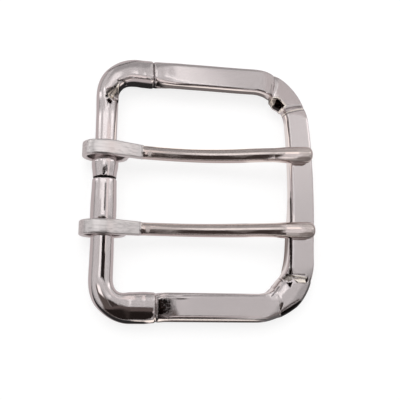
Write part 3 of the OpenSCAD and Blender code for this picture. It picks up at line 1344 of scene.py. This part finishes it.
@dataclass
class Studio:
    """Floor, surroundings, lamp and camera.

    Attributes:
        floor_size, card_size: width of the floor and of each card's sheet, in metres
        floor_sides: number of sides of the floor's outline
        floor_tone: how much of the lamp's light the floor gives back
        floor_glow: brightness that it has of its own
        floor_shade_in_plate: its colour where the plate mirrors it, darker than the camera sees it: painted
            shade
        camera_mm: place of the camera, in millimetres
        camera_turn: its turns about X, Y and Z, in degrees
        sensor, lens: width of its sensor and focal length, in millimetres
        near_clip: nearest distance that it sees, in metres
        lamp_place, lamp_size: place and width of the lamp, in metres
        lamp_power: its power, in watts
        backdrop: brightness behind the floor, as the camera sees it
        sky: sine of the height over the horizon, with the brightness there
        panels: parts of the surroundings
        floor_light_and_shade: painted shadows and pools of light on the floor, seen only where the plate
            mirrors it
        cards: flags and reflectors over the buckle
    """

    floor_size: float = 1.6
    card_size: float = 1.0
    floor_sides: int = 96
    floor_tone: float = 0.3
    floor_glow: float = 0.79
    floor_shade_in_plate: tuple[float, float, float] = (0.66, 0.62, 0.62)
    camera_mm: tuple[float, float, float] = (-16.93, -25.96, 114.09)
    camera_turn: tuple[float, float, float] = (11.81, -8.66, 0.33)
    sensor: float = 36.0
    lens: float = 54.0
    near_clip: float = 0.005
    lamp_place: tuple[float, float, float] = (-0.15, 0.35, 0.6)
    lamp_size: float = 0.5
    lamp_power: float = 1.6
    backdrop: float = 0.95
    sky: tuple[tuple[float, float], ...] = (
        (-1.0, 0.75), (-0.02, 0.75), (0.01, 0.35), (0.14, 0.5),
        (0.3, 0.72), (0.75, 0.76), (0.93, 0.72), (1.0, 0.7))
    panels: tuple[Panel, ...] = (
        Panel((0.3, 0.75), (0.22, 0.5), 0.9, soft=0.08),
        Panel((0.55, 1.2), (-0.6, 0.0), 0.52, soft=0.12),
        Panel((-0.35, 0.3), (0.6, 1.2), 0.46, soft=0.1),
        Panel((-0.52, 0.17), (0.27, 0.385), 1.4, soft=0.05),
        Panel((-0.3, 0.135), (0.36, 0.5), 1.2, soft=0.045),
        Panel((-0.96, -0.8), (0.29, 0.4), 1.6, soft=0.03),
        Panel((0.57, 0.88), (0.29, 0.42), 1.6, soft=0.04),
        Panel((-0.26, 0.08), (0.04, 0.3), 1.3, soft=0.05),
        Panel((-0.62, -0.15), (-0.975, -0.12), 0.13, (1.0, 0.85, 0.78), 0.05),
        Panel((-0.15, 0.21), (-0.975, -0.08), 0.06, (1.0, 0.8, 0.74), 0.04),
        Panel((0.33, 0.9), (-0.975, -0.42), 0.27, (1.0, 0.92, 0.9), 0.12),
        Panel((-0.5, -0.4), (0.4, 0.5), 2.5, soft=0.04))
    # painted shadows at the rails' feet and painted pools of light, seen only in the plate's reflections of
    # the floor
    floor_light_and_shade: tuple[Panel, ...] = (
        Panel((-20.0, -8.5), (18.0, 24.0), 0.03, soft=0.5),
        Panel((-8.5, 17.0), (17.8, 24.0), 0.22, (1.0, 0.92, 0.88), 0.5),
        Panel((-8.5, 13.0), (8.0, 16.8), 1.5, (1.0, 0.95, 0.88), 0.8),
        Panel((10.0, 17.5), (-17.0, 15.0), 1.0, (1.0, 0.97, 0.95), 0.7),
        Panel((15.8, 17.5), (-17.0, -6.5), 0.28, (1.0, 0.85, 0.8), 0.5),
        Panel((-200.0, -8.5), (-300.0, -27.0), 0.03, soft=1.5),
        Panel((-8.5, 13.0), (-90.0, -29.3), 1.5, (1.0, 0.95, 0.88), 0.4),
        Panel((-8.5, 13.0), (-29.3, -25.2), 0.12, (1.0, 0.9, 0.85), 0.4),
        Panel((13.0, 200.0), (-300.0, -32.0), 0.16, soft=1.5, slant=0.58),
        Panel((0.0, 45.0), (-400.0, -60.0), 1.5, (1.0, 0.95, 0.88), 4.0))
    cards: tuple[Card, ...] = (
        Card("black_flag", 14.0, (0.02, 0.015, 0.014), (
            Panel((-18.5, -14.6), (-17.2, -8.4), soft=0.3),
            Panel((-16.5, -13.5), (-17.2, -11.8), soft=0.4),
            Panel((-18.0, -16.4), (-3.9, 2.2), 0.8, soft=0.4),
            Panel((-13.0, -3.3), (-80.0, -27.0), soft=1.2),
            Panel((-40.0, -12.9), (-120.0, -12.5), soft=1.2, slant=0.98))),
        Card("spot_light", 14.1, (1.6, 1.53, 1.5), (
            Panel((17.3, 21.8), (7.2, 10.6), soft=0.3),
            Panel((17.3, 21.8), (-6.4, -3.1), soft=0.3),
            Panel((-23.5, -19.8), (-22.8, -19.6), soft=0.5))),
        Card("brown_shade", 14.2, (0.13, 0.105, 0.1), (
            Panel((-13.0, -3.3), (-80.0, -22.6), soft=0.3),
            Panel((-40.0, -12.9), (-120.0, -10.5), soft=0.6, slant=0.98))),
        Card("low_fill", 14.4, (0.63, 0.6, 0.6), (
            Panel((-60.0, -12.8), (-10.9, -5.0), soft=0.5, slant=0.98),
            Panel((-60.0, -13.6), (-60.0, -18.0), soft=0.5),
            Panel((14.6, 20.5), (-27.6, -20.5), soft=1.2))),
        Card("corner_fill", 14.4, (0.69, 0.665, 0.66), (Panel((15.7, 34.0), (21.3, 40.0), soft=1.8),)),
        Card("tip_fill", 14.3, (0.95, 0.95, 0.97), (Panel((16.4, 23.0), (-15.5, 6.9), soft=0.8),)),
        Card("elbow_fill", 25.0, (1.05, 0.98, 0.96), (
            Panel((-17.0, -3.0), (8.0, 18.5), soft=1.5),
            Panel((-12.0, -6.5), (-14.0, 9.0), soft=1.0))),
        Card("rail_fill", 12.0, (0.76, 0.71, 0.7), (Panel((-5.6, 13.5), (-27.6, -25.4), soft=0.4),)))

    def floor(self) -> bpy.types.Object:
        """Lays the floor.

        Returns:
            The floor's object.
        """
        bpy.ops.mesh.primitive_circle_add(vertices=self.floor_sides, radius=self.floor_size / 2,
                                          fill_type="NGON")
        floor = bpy.context.object
        floor.name = "floor"
        material, nodes = new_material("floor")
        # the plate mirrors a darker floor with painted shadows and light; the camera sees it lit and glowing
        tone = self.layered(nodes, self.in_mm(nodes), nodes.plain(self.floor_shade_in_plate), self.floor_light_and_shade)
        mirrored = nodes.add("ShaderNodeEmission", {"Color": tone})
        lit = nodes.add("ShaderNodeBsdfDiffuse", {"Color": (*[self.floor_tone] * 3, 1.0)})
        glow = nodes.add("ShaderNodeEmission", {"Strength": self.floor_glow})
        seen = nodes.add("ShaderNodeAddShader", {0: lit.outputs[0], 1: glow.outputs[0]})
        glossy = nodes.add("ShaderNodeLightPath").outputs["Is Glossy Ray"]
        nodes.add("ShaderNodeOutputMaterial", {"Surface": nodes.choose(glossy, seen, mirrored)})
        floor.data.materials.append(material)
        return floor

    def fade(self, nodes: NodeSet, value: bpy.types.NodeSocket, edge: float,
             soft: float) -> bpy.types.NodeSocket:
        """Makes a value that rises smoothly from 0 to 1 where another one passes an edge.

        Args:
            nodes: the nodes to add to
            value: the other value
            edge: the edge
            soft: how far before and after it the rise reaches

        Returns:
            The new value's socket.
        """
        inputs = {"Value": value, "From Min": edge - soft, "From Max": edge + soft}
        return nodes.add("ShaderNodeMapRange", inputs, interpolation_type="SMOOTHSTEP").outputs[0]

    def panel_mask(self, nodes: NodeSet, place: bpy.types.NodeSocket, panel: Panel) -> bpy.types.NodeSocket:
        """Works out how far a place or direction lies inside a panel.

        Args:
            nodes: the nodes to add to
            place: the place or direction
            panel: the panel

        Returns:
            A socket that is 1 inside the panel and 0 outside.
        """
        east, north = self.part(nodes, place, 0), self.part(nodes, place, 1)
        north = nodes.math("SUBTRACT", north, nodes.math("MULTIPLY", east, panel.slant))
        bands = [nodes.math("SUBTRACT", *(self.fade(nodes, value, limit, panel.soft) for limit in limits))
                 for value, limits in ((east, panel.east), (north, panel.north))]
        return nodes.math("MULTIPLY", *bands)

    def layered(self, nodes: NodeSet, place: bpy.types.NodeSocket, light: bpy.types.NodeSocket,
                panels: tuple[Panel, ...]) -> bpy.types.NodeSocket:
        """Lays panels over a light, each over the ones before it.

        Args:
            nodes: the nodes to add to
            place: the place or direction that the panels are told in
            light: the light below them
            panels: the panels

        Returns:
            The light's new socket.
        """
        for panel in panels:
            over = tuple(panel.strength * part for part in panel.colour)
            light = nodes.cover(self.panel_mask(nodes, place, panel), light, over)
        return light

    def hang(self, card: Card) -> bpy.types.Object:
        """Hangs a flag or reflector over the buckle.

        Args:
            card: the flag or reflector

        Returns:
            Its object.
        """
        bpy.ops.mesh.primitive_plane_add(size=self.card_size, location=(0, 0, card.height * MM))
        sheet = bpy.context.object
        sheet.name = card.name
        material, nodes = new_material(card.name)
        cloth = nodes.add("ShaderNodeEmission", {"Color": (*card.tone, 1.0)})
        clear = nodes.add("ShaderNodeBsdfTransparent")
        cover = self.layered(nodes, self.in_mm(nodes), nodes.plain((0.0, 0.0, 0.0)), card.cover)
        nodes.add("ShaderNodeOutputMaterial", {"Surface": nodes.choose(cover, clear, cloth)})
        sheet.data.materials.append(material)
        sheet.visible_camera = sheet.visible_diffuse = sheet.visible_shadow = False
        return sheet

    def in_mm(self, nodes: NodeSet) -> bpy.types.NodeSocket:
        """Returns the place on the object, in millimetres."""
        scale = nodes.add("ShaderNodeVectorMath", {0: nodes.place(), "Scale": 1 / MM}, operation="SCALE")
        return scale.outputs[0]

    def part(self, nodes: NodeSet, vector: bpy.types.NodeSocket, axis: int) -> bpy.types.NodeSocket:
        """Returns one of a vector's three parts."""
        return nodes.add("ShaderNodeSeparateXYZ", {0: vector}).outputs[axis]

    def surroundings(self) -> bpy.types.World:
        """Makes the soft surroundings that light the buckle and show in its plate.

        Returns:
            The world.
        """
        world = bpy.data.worlds.new("studio")
        bpy.context.scene.world = world
        world.use_nodes = True
        nodes = NodeSet(world.node_tree)
        look = nodes.add("ShaderNodeTexCoord").outputs["Generated"]
        height = nodes.add("ShaderNodeMapRange", {"Value": self.part(nodes, look, 2), "From Min": -1.0})
        ramp = nodes.add("ShaderNodeValToRGB", {"Fac": height.outputs[0]})
        stops = ramp.color_ramp.elements
        while len(stops) < len(self.sky):
            stops.new(0.5)
        # all places first, because stops change order as they move
        for stop, (sine, _) in zip(stops, self.sky):
            stop.position = (sine + 1) / 2
        for stop, (_, strength) in zip(stops, self.sky):
            stop.color = (strength, strength, strength, 1.0)
        light = self.layered(nodes, look, ramp.outputs["Color"], self.panels)
        seen = nodes.add("ShaderNodeBackground", {"Color": light})
        plain = nodes.add("ShaderNodeBackground", {"Color": (*[self.backdrop] * 3, 1.0)})
        to_camera = nodes.add("ShaderNodeLightPath").outputs["Is Camera Ray"]
        nodes.add("ShaderNodeOutputWorld", {"Surface": nodes.choose(to_camera, seen, plain)})
        return world

    def lamp(self) -> bpy.types.Object:
        """Hangs one broad lamp that lights the floor.

        Returns:
            The lamp's object.
        """
        data = bpy.data.lights.new("softbox", "AREA")
        data.shape = "DISK"
        data.size = self.lamp_size
        data.energy = self.lamp_power
        lamp = put("softbox", data)
        lamp.location = self.lamp_place
        lamp.rotation_euler = (-lamp.location).to_track_quat("-Z", "Y").to_euler()
        lamp.visible_glossy = False
        return lamp

    def camera(self) -> bpy.types.Object:
        """Stands the camera where the picture was taken from.

        Returns:
            The camera's object.
        """
        data = bpy.data.cameras.new("camera")
        data.sensor_width = self.sensor
        data.lens = self.lens
        data.clip_start = self.near_clip
        camera = put("camera", data)
        camera.location = Vector(self.camera_mm) * MM
        camera.rotation_euler = Euler([math.radians(turn) for turn in self.camera_turn], "XYZ")
        bpy.context.scene.camera = camera
        return camera

    def build(self) -> None:
        """Builds the floor, the cards, the surroundings, the lamp and the camera."""
        self.floor()
        for card in self.cards:
            self.hang(card)
        self.surroundings()
        self.lamp()
        self.camera()
        bpy.context.scene.view_settings.view_transform = "Standard"


def main() -> None:
    """Builds the buckle and its studio."""
    logging.basicConfig(level=logging.INFO, format="%(name)s: %(message)s")
    joints = frame["record"]["behaviour"]["joints"]
    bar = {joint["child"]: tuple(part / MM for part in joint["pos_m"]) for joint in joints}
    bar_x, _, bar_z = bar["upper_prong"]
    buckle = BuckleFrame(bar_x, bar_z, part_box("frame")[1][0] / MM)
    LOG.info("%s built", buckle.build(Nickel("nickel_plate")).name)
    prongs = (Prong("prong_upper", "upper_prong", bar["upper_prong"], drift=0.55, bow=0.25, shaft_t=2.75),
              Prong("prong_lower", "lower_prong", bar["lower_prong"], eye_w=2.8, bow=-0.1))
    # the wire gets a darker, warmer copy of the nickel colour as painted shade, the strip a lighter one as
    # painted light
    wire = Nickel("nickel_wire_shaded", colour=(0.65, 0.57, 0.545), roughness=0.08, grain_depth_mm=0.002,
                  grain_length=14.0, streak=0.25)
    strip = Nickel("nickel_strip_lit", colour=(0.735, 0.69, 0.685), roughness=0.24, haze=0.12, grain_mm=0.33,
                   grain_depth_mm=0.014, grain_length=18.0, streak=0.55, wear_depth_mm=0.05)
    for prong in prongs:
        LOG.info("%s built", prong.build(wire, strip).name)
    Studio().build()


if __name__ == "__main__":
    main()
